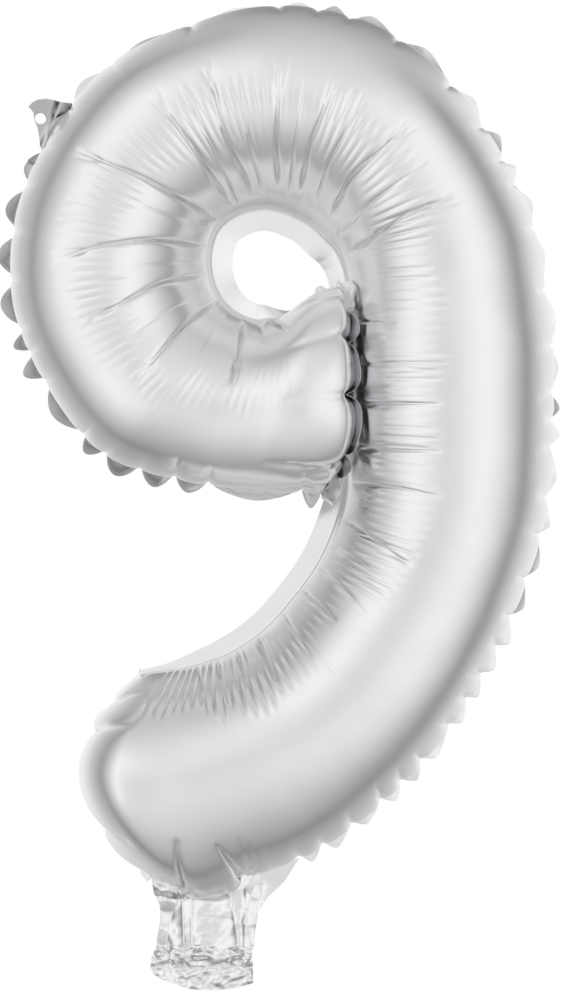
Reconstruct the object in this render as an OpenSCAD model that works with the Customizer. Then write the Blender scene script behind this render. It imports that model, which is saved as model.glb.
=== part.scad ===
// Foil number balloon, digit nine, shown filled with air and hung by its tab.
// Two foil panels are heat sealed round one closed edge. A flat self-sealing
// valve lies between them and leaves through the neck. A tab with a punched
// hole sticks out of the seal at the upper left.
// Units are mm, +Z is up, the front faces -Y. The origin is the centre of the
// hole in the hanging tab.

/* [Balloon] */
// Size class of the balloon, in cm
size_cm = 40; // [38:1:44]
// Thickness each film is drawn at, mm
film_t = 0.45; // [0.40:0.05:0.60]
// Half depth of the filled tube as a share of its width
puff = 0.42; // [0.34:0.01:0.44]
// Flat width of the heat seal, mm
seal_w = 9; // [7:0.5:9]
// Depth of the scallops in the edge of the seal, mm
scallop = 1.2; // [0:0.1:2]

/* [Hanging tab] */
// Radius of the punched hole, mm
hole_r = 2.25; // [1.75:0.05:2.5]

/* [Neck and valve] */
// Width of the flattened neck, mm
neck_w = 38; // [34:1:40]
// Length of the loose part of the neck, mm
neck_len = 27; // [20:1:34]
// How far the neck wall bows out from the middle, mm
neck_bow = 4.6; // [4.4:0.1:5]
// How far the valve film bows out inside the neck, mm
sleeve_bow = 3.6; // [3:0.1:3.8]
// Length of the valve film inside the balloon, mm
leaf_len = 60; // [30:1:70]
// Width of the valve film inside the balloon, mm
leaf_w = 22; // [16:1:22]

/* [Hidden] */
k = size_cm / 40;
$fn = 96;

// Seam points, X and Z, in pairs across the stroke from the tail of the
// digit, up the stem, round the ring and down to the end of the bowl.
inner_pts = [
    [40.5, -222], [51, -221], [63, -218.5], [76.5, -213.5], [89.5, -204.5],
    [101, -192], [111, -178], [118, -162.5], [122.5, -148], [124.5, -128.5],
    [125, -109.5], [125, -86.5], [124, -65.5], [119, -54], [113, -47.5],
    [107.5, -42.5], [102, -39.5], [96, -37], [88.5, -36], [80, -38],
    [72, -43.5], [68.5, -52], [68.5, -62], [72, -71.5], [78.5, -78],
    [87.5, -81], [97, -80], [108.5, -77], [119.5, -73]];
outer_pts = [
    [44, -303], [65, -311.5], [84, -304.5], [112, -292.5], [139, -272.5],
    [163, -246], [181.5, -216.5], [194, -188.5], [202, -162], [205.5, -134.5],
    [206, -110], [205.5, -86.5], [202, -64], [197, -39.5], [182, -9],
    [160, 19.5], [131, 39], [95, 45.5], [60, 38], [28, 22],
    [4.5, -5.5], [-10, -38], [-11, -76], [4, -110], [27, -136],
    [62, -146.5], [84, -148.5], [102, -150], [118, -151.5]];
last = len(inner_pts) - 1;

// Seal width along the two sides of the stroke, station against mm, for a
// seal_w of 9. The outer seal is gathered and partly rolled under the bowed
// film, so 5 to 6 of its 9 mm stand clear.
outer_w = [[0, 5], [0.25, 5], [0.5, 4], [1.6, 4], [2, 5.5], [19.3, 5.5],
           [19.67, 4.4], [20, 1.5], [20.33, 1], [20.67, 3], [21, 4.6],
           [21.4, 5.5], [27, 5.5], [28, 6]];
inner_w = [[0, 7], [1, 5], [3, 7], [8, 7], [9.5, 6], [15.5, 6], [17, 9],
           [25, 9], [27, 8], [28, 6]];
// Tilt of the seal out of the plane, degrees. It leans back where the stem
// passes behind the end of the bowl, and forward round that end.
end_tilt = -38;
inner_tilt = [[0, 0], [6.5, 0], [8, 40], [13, 40], [15, 0], [26.3, 0],
              [27.7, end_tilt], [28, end_tilt]];
outer_tilt = [[0, 0], [26.3, 0], [27.7, end_tilt], [28, end_tilt]];
tail_bulge = 26;
bowl_bulge = 3;
bowl_front = 12;
neck_u = 1.05;
mouth_gap = 2.8;

// Stations at which the panels are cut, and steps across the stroke.
us = concat([0, 0.03, 0.1, 0.2, 0.33, 0.5, 0.67, 0.83],
            [for (i = [3:78]) i / 3],
            [26.3, 26.6, 26.9, 27.2, 27.45, 27.65, 27.8, 27.92, 28]);
nt = 15;
ts = [for (j = [0:nt]) 0.5 - 0.5 * cos(180 * j / nt)];
nu = len(us);

function cr(a, b, c, d, f) = 0.5 * (2 * b + (c - a) * f
    + (2 * a - 5 * b + 4 * c - d) * f * f + (3 * b - a - 3 * c + d) * f * f * f);
function at(p, u) = let (i = min(floor(u), last - 1))
    cr(p[max(i - 1, 0)], p[i], p[i + 1], p[min(i + 2, last)], u - i);
function unit(v) = v / max(norm(v), 0.0001);
function clamp(x) = max(0, min(1, x));
function smooth(x) = let (c = clamp(x)) c * c * (3 - 2 * c);
function round_in(x) = let (c = clamp(x)) sqrt(1 - (1 - c) * (1 - c));

// Point of the stroke in the plane, u along it and t across it.
function flat(u, t) = k * (at(inner_pts, u) * (1 - t) + at(outer_pts, u) * t
    + 4 * t * (1 - t) * [bowl_bulge * exp(-pow(last - u, 2))
                         - tail_bulge * exp(-pow(u / 2.4, 2)), 0]);
function width(u) = k * norm(at(outer_pts, u) - at(inner_pts, u));
// Shift of the middle surface: the end of the bowl sits in front of the stem.
function mid(u, t) = -(bowl_front + 5 * t) * smooth((u - last + 3) / 3);
function crown(t) = let (c = 0.55)
    sqrt(max(0, 1 - pow((t - c) / (t < c ? c : 1 - c), 2)));
function dome(u, t) = puff * width(u) * crown(t)
    * round_in(u / 1.7) * round_in((last - u) / 1.5);
// The two panels part at the neck, to let the valve through.
function mouth(u) = smooth((0.95 - abs(u - neck_u)) / 0.35);
function part_y(u, t) = mouth_gap * mouth(u) * pow(t, 8);

// In-plane directions that point out of the pocket.
function out_side(u, t) = let (
    a = flat(max(u - 0.05, 0), t), b = flat(min(u + 0.05, last), t),
    d = unit(b - a), n = [d[1], -d[0]], w = flat(u, t) - flat(u, 0.5))
    n * w > 0 ? n : -n;
function out_end(u, t) = let (
    a = flat(u, max(t - 0.02, 0)), b = flat(u, min(t + 0.02, 1)),
    d = unit(b - a), n = [d[1], -d[0]],
    w = flat(u, t) - flat(u < 1 ? 0.3 : last - 0.3, t))
    n * w > 0 ? n : -n;

function lift(p, y) = [p[0], y, p[1]];
function wave(u) = scallop * abs(sin(180 * u * 1.5));
// Station and step of grid place i, j. Rows 0 and nu + 1 and columns 0 and
// nt + 2 are the outer edge of the seal, and the ones inside them the seam.
function iu(i) = us[max(0, min(nu - 1, i - 1))];
function jt(j) = ts[max(0, min(nt, j - 1))];
function tilt(i, j) = i == 0 ? 0 : i == nu + 1 ? end_tilt
    : lookup(iu(i), j <= 1 ? inner_tilt : outer_tilt);
function out(i, j) = let (
    ei = i == 0 || i == nu + 1, ej = j == 0 || j == nt + 2,
    si = i == 1 || i == nu, sj = j == 1 || j == nt + 1,
    u = iu(i), t = jt(j))
    (ei && ej) || (si && sj) ? unit(out_side(u, t) + out_end(u, t))
    : ei || (si && !ej) ? out_end(u, t) : out_side(u, t);
function seal(i, j) = let (
    u = iu(i), w = lookup(u, outer_w),
    ei = i == 0 || i == nu + 1, ej = j == 0 || j == nt + 2)
    seal_w / 9 * (ei ? (i == 0 ? 5 : 7) * (ej ? 1.15 : 1)
    : j == 0 ? lookup(u, inner_w) : w - wave(u) * smooth((w - 3) / 2));

// Inner face of a panel. side is -1 for the front and 1 for the back.
function skin(i, j, side) = let (
    u = iu(i), t = jt(j), edge = i == 0 || i == nu + 1 || j == 0 || j == nt + 2,
    o = out(i, j), a = tilt(i, j), w = edge ? seal(i, j) : 0,
    p = flat(u, t) + o * w * cos(a),
    y = mid(u, t) + w * sin(a)
        + side * (part_y(u, t) + (edge ? 0 : dome(u, t))))
    lift(p, y);

// Thickness offset, from the inner face to the outer one.
function skin_off(g, i, j, side) = let (
    edge = i == 0 || i == nu + 1 || j == 0 || j == nt + 2,
    seam = !edge && (i == 1 || i == nu || j == 1 || j == nt + 1),
    o = out(i, j),
    a = tilt(i, j))
    edge ? film_t * lift(-side * o * sin(a), side * cos(a))
    : seam ? film_t * lift(o, side * (1 + side * sin(a)) / cos(a))
    : film_t * side * unit(cross(g[i + 1][j] - g[i - 1][j], g[i][j + 1] - g[i][j - 1]));

module panel(side) {
    ni = nu + 2;
    nj = nt + 3;
    g = [for (i = [0:ni - 1]) [for (j = [0:nj - 1]) skin(i, j, side)]];
    inner = [for (i = [0:ni - 1]) for (j = [0:nj - 1]) g[i][j]];
    outer = [for (i = [0:ni - 1]) for (j = [0:nj - 1]) g[i][j] + skin_off(g, i, j, side)];
    n = ni * nj;
    function q(a, b, c, d) = side < 0 ? [[a, b, c], [a, c, d]] : [[c, b, a], [d, c, a]];
    faces = concat(
        [for (i = [0:ni - 2]) for (j = [0:nj - 2])
            each q(i * nj + j, i * nj + j + 1, (i + 1) * nj + j + 1, (i + 1) * nj + j)],
        [for (i = [0:ni - 2]) for (j = [0:nj - 2])
            each q(n + i * nj + j, n + (i + 1) * nj + j, n + (i + 1) * nj + j + 1, n + i * nj + j + 1)],
        [for (i = [0:ni - 2]) each q(i * nj, (i + 1) * nj, n + (i + 1) * nj, n + i * nj)],
        [for (i = [0:ni - 2]) each q(n + i * nj + nj - 1, n + (i + 1) * nj + nj - 1, (i + 1) * nj + nj - 1, i * nj + nj - 1)],
        [for (j = [0:nj - 2]) each q(n + j, n + j + 1, j + 1, j)],
        [for (j = [0:nj - 2]) each q((ni - 1) * nj + j, (ni - 1) * nj + j + 1, n + (ni - 1) * nj + j + 1, n + (ni - 1) * nj + j)]);
    polyhedron(points = concat(inner, outer), faces = faces, convexity = 12);
}

// The neck hangs below the lowest part of the seal.
neck_x = 66.5 * k;
fold_z = -317.5 * k;
neck_top = fold_z - 4.2;
neck_bot = neck_top - neck_len;
side_seal = 4;
neck_film = 0.4;

// A bowed film across the neck, flat along both side seals.
module bowed(y0, bow, top, bottom, side, flat_edge) {
    c = neck_w / 2 - flat_edge;
    r = (c * c + bow * bow) / (2 * bow);
    h = top - bottom;
    mirror([0, side < 0 ? 1 : 0, 0]) translate([neck_x, 0, bottom]) {
        intersection() {
            translate([0, y0 + bow - r, 0]) difference() {
                cylinder(r = r + neck_film, h = h);
                translate([0, 0, -1]) cylinder(r = r, h = h + 2);
            }
            translate([-c - 0.2, y0, 0]) cube([2 * c + 0.4, bow + 2, h]);
        }
        for (s = [-1, 1])
            translate([s > 0 ? c : -neck_w / 2, y0, 0]) cube([flat_edge, neck_film, h]);
    }
}

// A flat valve film inside the balloon.
module leaf(side) {
    y = side < 0 ? -0.3 : 0.7;
    translate([neck_x, y, -313.5 * k]) rotate([90, 0, 0])
        linear_extrude(height = 0.4)
            polygon([[-leaf_w / 2, 0], [leaf_w / 2, 0],
                     [leaf_w / 2, leaf_len - 4], [leaf_w / 2 - 4, leaf_len],
                     [4 - leaf_w / 2, leaf_len], [-leaf_w / 2, leaf_len - 4]]);
}

module front_panel() { color([0.80, 0.80, 0.81]) panel(-1); }
module back_panel() { color([0.74, 0.74, 0.76]) panel(1); }
module neck_front_wall() { color([0.78, 0.78, 0.79]) bowed(0.4, neck_bow, neck_top, neck_bot, -1, side_seal); }
module neck_back_wall() { color([0.70, 0.70, 0.72]) bowed(0.4, neck_bow, neck_top, neck_bot, 1, side_seal); }
module valve_front_sleeve() { color([0.86, 0.88, 0.90]) bowed(0, sleeve_bow, neck_top, neck_bot + 3, -1, side_seal + 0.6); }
module valve_back_sleeve() { color([0.86, 0.88, 0.90]) bowed(0, sleeve_bow, neck_top, neck_bot + 3, 1, side_seal + 0.6); }
module valve_front_leaf() { color([0.88, 0.90, 0.92]) leaf(-1); }
module valve_back_leaf() { color([0.88, 0.90, 0.92]) leaf(1); }

// The tab is both panels fused, folded where it leaves the seal.
tab_t = 0.8;
module hang_tab() {
    color([0.72, 0.72, 0.74]) difference() {
        translate([0, tab_t / 2, 0]) rotate([90, 0, 0]) linear_extrude(height = tab_t)
            polygon(k * [[-4.6, 4.4], [-3.6, 6], [-1.4, 7.4], [1.4, 8], [4, 7.8],
                         [6.6, 7.6], [0, -7.2], [-1, -9.4], [-2, -7.4],
                         [-3, -4.6], [-4.2, -1.6]]);
        rotate([90, 0, 0]) translate([0, 0, -2]) cylinder(r = hole_r, h = 4);
    }
}

front_panel();
back_panel();
neck_front_wall();
neck_back_wall();
valve_front_sleeve();
valve_back_sleeve();
valve_front_leaf();
valve_back_leaf();
hang_tab();
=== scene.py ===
"""Foil number balloon, digit nine: the visual model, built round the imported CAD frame."""
import math

import bpy
import numpy as np
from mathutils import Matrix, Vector


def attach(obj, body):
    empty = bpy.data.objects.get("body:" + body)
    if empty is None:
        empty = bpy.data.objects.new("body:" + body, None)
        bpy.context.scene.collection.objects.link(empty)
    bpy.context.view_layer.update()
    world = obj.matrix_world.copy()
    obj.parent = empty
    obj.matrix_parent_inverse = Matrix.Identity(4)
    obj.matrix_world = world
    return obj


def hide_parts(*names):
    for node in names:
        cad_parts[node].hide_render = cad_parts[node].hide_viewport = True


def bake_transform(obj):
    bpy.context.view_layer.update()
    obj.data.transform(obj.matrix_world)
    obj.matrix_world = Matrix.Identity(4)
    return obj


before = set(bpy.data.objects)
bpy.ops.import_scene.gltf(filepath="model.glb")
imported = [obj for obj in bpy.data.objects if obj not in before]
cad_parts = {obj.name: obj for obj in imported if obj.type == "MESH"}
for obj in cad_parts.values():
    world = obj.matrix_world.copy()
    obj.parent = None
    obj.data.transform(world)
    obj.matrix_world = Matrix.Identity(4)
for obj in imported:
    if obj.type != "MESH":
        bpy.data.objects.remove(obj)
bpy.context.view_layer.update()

MM = 0.001
NS, NT = ((1500, 84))     # along the stroke, across one panel
F = 7                                                 # rows across the heat seal
SEAL = 9.0                                            # flat width of the heat seal, mm

# ------------------------------------------------------------------ outline
# Seam points of the digit in mm, in pairs across the stroke: the tail, up the stem, round the ring, down the bowl.
INNER = np.array([
    [40.5, -222], [51, -221], [63, -218.5], [76.5, -213.5], [89.5, -204.5],
    [101, -192], [111, -178], [118, -162.5], [121.8, -148], [121.6, -128.5],
    [121.8, -109.5], [122, -86.5], [122.8, -66.5], [119, -54], [113, -47.5],
    [107.5, -42.5], [102, -39.5], [96, -37], [88.5, -36], [80, -38],
    [72, -43.5], [68.5, -52], [68.5, -62], [72, -71.5], [78.5, -78],
    [87.5, -81], [97, -78], [107.8, -70.6], [120.1, -65.6]], float)
OUTER = np.array([
    [44, -303], [65, -311.5], [84, -304.5], [112, -292.5], [139, -272.5],
    [163, -246], [181.5, -216.5], [194, -188.5], [202, -162], [205.5, -134.5],
    [206, -110], [205.5, -86.5], [202, -64], [197, -39.5], [182, -9],
    [160, 19.5], [131, 39], [95, 45.5], [60, 38], [28, 22],
    [4.5, -5.5], [-10, -38], [-11, -76], [4, -110], [27, -136],
    [62, -146.5], [83, -148.5], [100, -150], [112.5, -150.5]], float)
LAST = len(INNER) - 1


def cr(P, u):
    i = np.clip(np.floor(u).astype(int), 0, LAST - 1)
    f = (u - i)[..., None]
    a, b, c, d = P[np.maximum(i - 1, 0)], P[i], P[i + 1], P[np.minimum(i + 2, LAST)]
    return 0.5 * (2 * b + (c - a) * f + (2 * a - 5 * b + 4 * c - d) * f * f + (3 * b - a - 3 * c + d) * f ** 3)


def smooth(x):
    x = np.clip(x, 0, 1)
    return x * x * (3 - 2 * x)


def round_in(x):
    x = np.clip(x, 0, 1)
    return np.sqrt(1 - (1 - x) ** 2)


def table(u, pts):
    p = np.array(pts, float)
    return np.interp(u, p[:, 0], p[:, 1])


def cr1(t, pts):
    """Smooth curve through the inner pairs of pts."""
    q = np.array(pts, float)
    i = np.clip(np.searchsorted(q[:, 0], t, side="right") - 1, 1, len(q) - 3)
    x0, x1 = q[i, 0], q[i + 1, 0]
    f = (t - x0) / (x1 - x0)
    m0 = (q[i + 1, 1] - q[i - 1, 1]) / (q[i + 1, 0] - q[i - 1, 0]) * (x1 - x0)
    m1 = (q[i + 2, 1] - q[i, 1]) / (q[i + 2, 0] - q[i, 0]) * (x1 - x0)
    return (2 * f ** 3 - 3 * f ** 2 + 1) * q[i, 1] + (f ** 3 - 2 * f ** 2 + f) * m0 + (3 * f ** 2 - 2 * f ** 3) * q[i + 1, 1] + (f ** 3 - f ** 2) * m1


def flat(u, t):
    """Point of the stroke in the plane; u and t are arrays of one shape."""
    bowl = cr1(t, [(-0.1, -2.5), (0, 0), (0.1, 2.6), (0.25, 5.6), (0.5, 8.6), (0.68, 9.9), (0.8, 9.0), (0.9, 5.6), (1, 0), (1.1, -5)])
    bulge = bowl * np.exp(-((LAST - u) / 1.1) ** 2) - 104.0 * t * (1 - t) * np.exp(-(u / 2.4) ** 2)
    p = cr(INNER, u) * (1 - t)[..., None] + cr(OUTER, u) * t[..., None]
    p[..., 0] += bulge
    return p


def unit(v):
    return v / np.maximum(np.linalg.norm(v, axis=-1, keepdims=True), 1e-9)


def arc(p):
    return np.concatenate([[0], np.cumsum(np.linalg.norm(np.diff(p, axis=0), axis=1))])


def noise1(s, scale, seed):
    """Smooth noise along a line, about -1 to 1, one knot every `scale`."""
    r = np.random.RandomState(seed)
    n = int(np.max(s) / scale) + 4
    k = r.uniform(-1, 1, n)
    x = s / scale
    i = np.clip(x.astype(int), 0, n - 2)
    f = x - i
    f = f * f * (3 - 2 * f)
    return k[i] * (1 - f) + k[i + 1] * f


def noise2(x, z, scale, seed):
    """Smooth value noise over a plane."""
    r = np.random.RandomState(seed)
    K = r.uniform(-1, 1, (64, 64))
    a, b = x / scale + 200, z / scale + 200
    i, j = np.floor(a).astype(int), np.floor(b).astype(int)
    f, g = a - i, b - j
    f, g = f * f * (3 - 2 * f), g * g * (3 - 2 * g)
    i0, j0, i1, j1 = i % 64, j % 64, (i + 1) % 64, (j + 1) % 64
    return (K[i0, j0] * (1 - f) + K[i1, j0] * f) * (1 - g) + (K[i0, j1] * (1 - f) + K[i1, j1] * f) * g


# ------------------------------------------------------------------ features
# Deep creases that fan out from the ring and cross the inner half of the stem: points in mm, and depth in mm.
CREASES = [
    ([(70.6, -40.6), (55.8, -33.0), (39.8, -24.2), (15.0, -13.8)], 1.9),
    ([(76.6, -34.6), (63.8, -16.6), (47.8, 5.4)], 1.5),
    ([(85.4, -31.0), (75.0, -10.6), (67.8, 17.4)], 1.7),
    ([(95.0, -28.6), (94.2, -12.6), (95.8, 17.4)], 1.5),
    ([(103.4, -30.6), (107.8, -10.6), (117.8, 12.2)], 1.5),
    ([(115.0, -39.8), (123.8, -24.6), (145.8, -5.4)], 1.7),
    ([(122.2, -55.0), (143.8, -40.6), (163.8, -32.6)], 1.6),
    ([(67.0, -51.4), (43.8, -49.4), (23.8, -51.8), (7.8, -57.4)], 1.8),
    ([(67.0, -62.6), (47.8, -66.6), (20.6, -81.4)], 1.5),
    ([(71.0, -72.6), (57.8, -83.4), (39.8, -103.8)], 1.8),
    ([(81.0, -80.6), (78.6, -98.6), (75.8, -106.6)], 1.8),
    ([(91.8, -79.8), (99.8, -85.8)], 1.2),
    ([(87.0, -79.8), (88.6, -90.6)], 0.8),
    ([(79.8, -34.6), (69.4, -12.6), (58.2, 9.4)], 0.9),
    ([(89.4, -31.0), (83.8, -12.6), (81.0, 11.4)], 0.8),
    ([(99.4, -31.0), (101.4, -12.6), (105.8, 15.4)], 0.8),
    ([(109.4, -35.0), (115.0, -18.6), (129.8, 5.4)], 0.8),
    ([(119.0, -47.8), (131.8, -34.6), (153.8, -18.6)], 0.8),
    ([(67.8, -45.4), (47.8, -38.2), (27.8, -32.6)], 0.35),
    ([(67.0, -57.4), (43.8, -59.0), (23.8, -66.6)], 0.3),
    ([(68.6, -68.6), (51.8, -76.6), (29.8, -92.6)], 0.3),
    ([(75.0, -77.4), (67.0, -90.6), (59.8, -102.6)], 0.35),
    ([(124.6, -81.4), (141.8, -82.6)], 0.8),
    ([(125.4, -98.6), (151.8, -100.6)], 0.8),
    ([(127.0, -114.6), (143.8, -114.2), (159.8, -114.6)], 1.2),
    ([(126.2, -132.6), (143.8, -133.0), (159.8, -133.4)], 1.2),
    ([(124.6, -146.2), (143.8, -147.8), (159.8, -151.4)], 1.1),
    ([(120.6, -160.6), (133.8, -168.6), (147.8, -179.4)], 1.2),
    ([(115.8, -170.6), (127.8, -177.4), (137.8, -184.6)], 0.8),
    ([(111.0, -179.0), (121.8, -188.6), (129.8, -197.4)], 0.8),
    ([(103.8, -187.8), (111.8, -195.0), (117.8, -200.6)], 1.1),
    ([(96.6, -196.6), (103.8, -208.6), (108.6, -214.6)], 0.8),
    ([(87.0, -207.0), (91.0, -217.4), (93.8, -224.6)], 1.2),
    ([(79.0, -212.6), (81.4, -221.4), (82.2, -228.6)], 0.8),
    ([(71.0, -215.8), (73.4, -226.2), (75.0, -234.6)], 0.8),
    ([(63.0, -218.6), (65.4, -229.4), (66.6, -237.4)], 0.7),
]
# Places where the gathered outer seal is pinched in, in mm, from the tail round to the end of the bowl.
PINCHES = [
    (103.8, -296.6), (113.8, -291.8), (125.8, -283.8), (137.8, -274.6), (145.8, -266.6), (153.0, -256.6),
    (165.8, -243.8), (171.8, -232.6), (177.8, -223.0), (183.8, -211.8), (189.8, -199.8), (195.8, -184.6),
    (199.8, -166.6), (202.6, -151.4), (204.6, -131.4), (205.4, -120.6), (205.8, -109.4), (205.0, -90.6),
    (203.4, -68.6), (198.6, -43.8), (191.4, -25.8), (186.6, -16.2), (178.2, -3.0), (164.6, 13.8),
    (143.8, 32.2), (123.8, 41.4), (111.0, 44.2), (95.0, 45.4), (60, 38), (28, 22),
    (8.6, 5.8), (1.4, -11.0), (-5.8, -27.0), (-10.6, -45.4), (-12.2, -64.2), (-8.2, -84.6),
    (-5.0, -94.2), (-0.2, -106.6), (17.0, -126.6), (25.4, -134.0), (39.0, -142.2),
    (53.4, -145.6), (66.6, -148.6), (104.2, -150.6)]
TAIL_PINCHES = [(27.8, -233.0), (22.8, -246.6), (24.8, -282.2), (40.8, -299.0)]
TAIL_WEIGHT = [0.5, 1.5, 1.6, 0.5]
BOWL_PINCHES = [(122.5, -74.5), (123.8, -90.5), (123.8, -111.0), (120.0, -134.5), (121.0, -146.0)]
BOWL_WEIGHT = [0.5, 1.2, 1.5, 1.5, 0.7]
# The two grooves where the tail's film gathers into the neck, and smaller folds beside them.
GROOVES = [
    ([(56.4, -306.5), (55.6, -300.0), (55.0, -287.0)], 2.9),
    ([(82.6, -307.0), (78.6, -301.0), (70.6, -289.5)], 2.9),
    ([(84.8, -304.0), (82.6, -296.0), (79.0, -286.0)], 0.9),
    ([(87.2, -303.0), (85.6, -296.0), (82.6, -287.5)], 0.7),
    ([(52.0, -303.0), (50.6, -297.0), (49.4, -292.0)], 0.4),
    ([(93.4, -301.4), (91.0, -295.6), (88.6, -290.0)], 0.5),
]

# ------------------------------------------------------------------ smooth inflated form
PUFF = 0.42


def ends(u):
    """Share of the full depth towards the two rounded ends of the tube."""
    far = LAST - u
    return round_in(u / 0.9) * (1 - 0.07 * (np.clip(3 - u, 0, 3) / 3) ** 2) * round_in(far / 0.28) * (1 - 0.36 * (np.clip(2.0 - far, 0, 2.0) / 2.0) ** 2.4)


def stations():
    """Places along the stroke, spaced evenly over the middle of the filled tube, its rounded ends included."""
    u = np.concatenate([np.linspace(0, 0.2, 60)[:-1], np.linspace(0.2, LAST - 0.2, 3000)[:-1],
                        np.linspace(LAST - 0.2, LAST, 60)])
    p = flat(u, np.full_like(u, 0.5))
    w = np.linalg.norm(cr(OUTER, u) - cr(INNER, u), axis=1)
    h = PUFF * w * ends(u)
    s = arc(np.column_stack([p, h]))
    return np.interp(np.linspace(0, s[-1], NS), s, u), s[-1]


def profile(u):
    """Across the tube: place x (share of the width) and half depth h, evenly spaced along the film."""
    w = np.linalg.norm(cr(OUTER, u) - cr(INNER, u), axis=1)
    c = table(u, [(0, 0.50), (5, 0.50), (12, 0.50), (15, 0.53), (19, 0.54), (23, 0.53), (26, 0.50), (28, 0.5)])
    p = table(u, [(0, 1.0), (5, 1.0), (12, 1.0), (14, 1.08), (24, 1.10), (26, 1.0), (28, 1.0)])
    q = np.linspace(0, 1, 241)
    a = np.pi * q
    x = np.where(a[None] < np.pi / 2, c[:, None] * (1 - np.cos(a))[None],
                 c[:, None] - (1 - c)[:, None] * np.cos(a)[None])
    h = np.sin(a)[None] ** np.where(a[None] < np.pi / 2, p[:, None], 1.0) * PUFF * w[:, None]
    # round the ring and the lower bend the film leaves its inner seam at a slant instead of square to it
    v = np.linspace(0, 1, 400)
    slant = np.where(v < 0.43, 1.83 - 1.4 * v, 1.22 * (1 - v) / 0.57)
    rise_ = np.concatenate([[0], np.cumsum((slant[1:] + slant[:-1]) / 2)]) * (v[1] - v[0])
    rise_ /= rise_[-1]
    k = table(u, [(0, 0.6), (3, 0.6), (5, 0.45), (7, 0.3), (10, 0.2), (13, 0.35), (14.5, 0.7), (16, 0.9), (18, 0.8), (20, 0.4), (24, 0.4), (26.5, 0.3), (28, 0.2)])
    vv = np.clip(x / c[:, None], 0, 1)
    h2 = np.interp(vv, v, rise_) * PUFF * w[:, None]
    h = np.where(a[None] < np.pi / 2, h * (1 - k[:, None]) + h2 * k[:, None], h)
    h = h * table(u, [(0, 1), (24, 1), (26, 0.96), (28, 0.95)])[:, None]
    X, H = np.empty((len(u), NT)), np.empty((len(u), NT))
    for i in range(len(u)):
        s = arc(np.column_stack([x[i] * w[i], h[i]]))
        g = np.linspace(0, s[-1], NT)
        X[i], H[i] = np.interp(g, s, x[i]), np.interp(g, s, h[i])
    H[:, 0] = H[:, -1] = 0
    cap = ends(u)
    k = smooth(cap)[:, None]
    tau = np.linspace(0, 1, NT)[None]
    return X * k + tau * (1 - k), H * cap[:, None], cap


def lobes(s, marks, total, seed=3, apex=None, gap=None, sharp=None):
    """0 at each pinch, 1 at the tip of the lobe between two, for places s along an edge."""
    m = np.unique(np.concatenate([[0], np.sort(marks), [total]]))
    i = np.clip(np.searchsorted(m, s, side="right") - 1, 0, len(m) - 2)
    f = np.clip((s - m[i]) / np.maximum(m[i + 1] - m[i], 1e-6), 0, 1)
    r = np.random.RandomState(seed)
    q = r.uniform(0.38, 0.62, len(m))[i] if apex is None else np.clip(apex + r.uniform(-0.09, 0.09, len(m))[i], 0.2, 0.8)
    g = np.zeros_like(f) if gap is None else gap
    f = np.clip((f - g) / (1 - 2 * g), 0, 1)
    e = np.where(f < q, f / q, (1 - f) / (1 - q))
    dome = np.sin(np.pi / 2 * e) ** 0.8
    k = 0.0 if sharp is None else sharp
    tri = np.minimum(1.0, e * 1.12)
    return dome * (1 - k) + tri * k, i, m


def nearest(curve, pts):
    s = arc(curve)
    return np.array([s[np.argmin(((curve - np.array(p)) ** 2).sum(1))] for p in pts])


def grid_normals(P):
    a = np.gradient(P, axis=0)
    b = np.gradient(P, axis=1)
    return unit(np.cross(a, b))


U, STROKE = stations()
TX, HH, CAP = profile(U)
TAU = np.linspace(0, 1, NT)
UU = np.repeat(U[:, None], NT, 1)


def side_out(curve, away):
    """In-plane normals of an edge that point away from the pocket."""
    d = unit(np.gradient(curve, axis=0))
    n = np.column_stack([d[:, 1], -d[:, 0]])
    return n * np.sign((n * (curve - away)).sum(1))[:, None]


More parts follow.
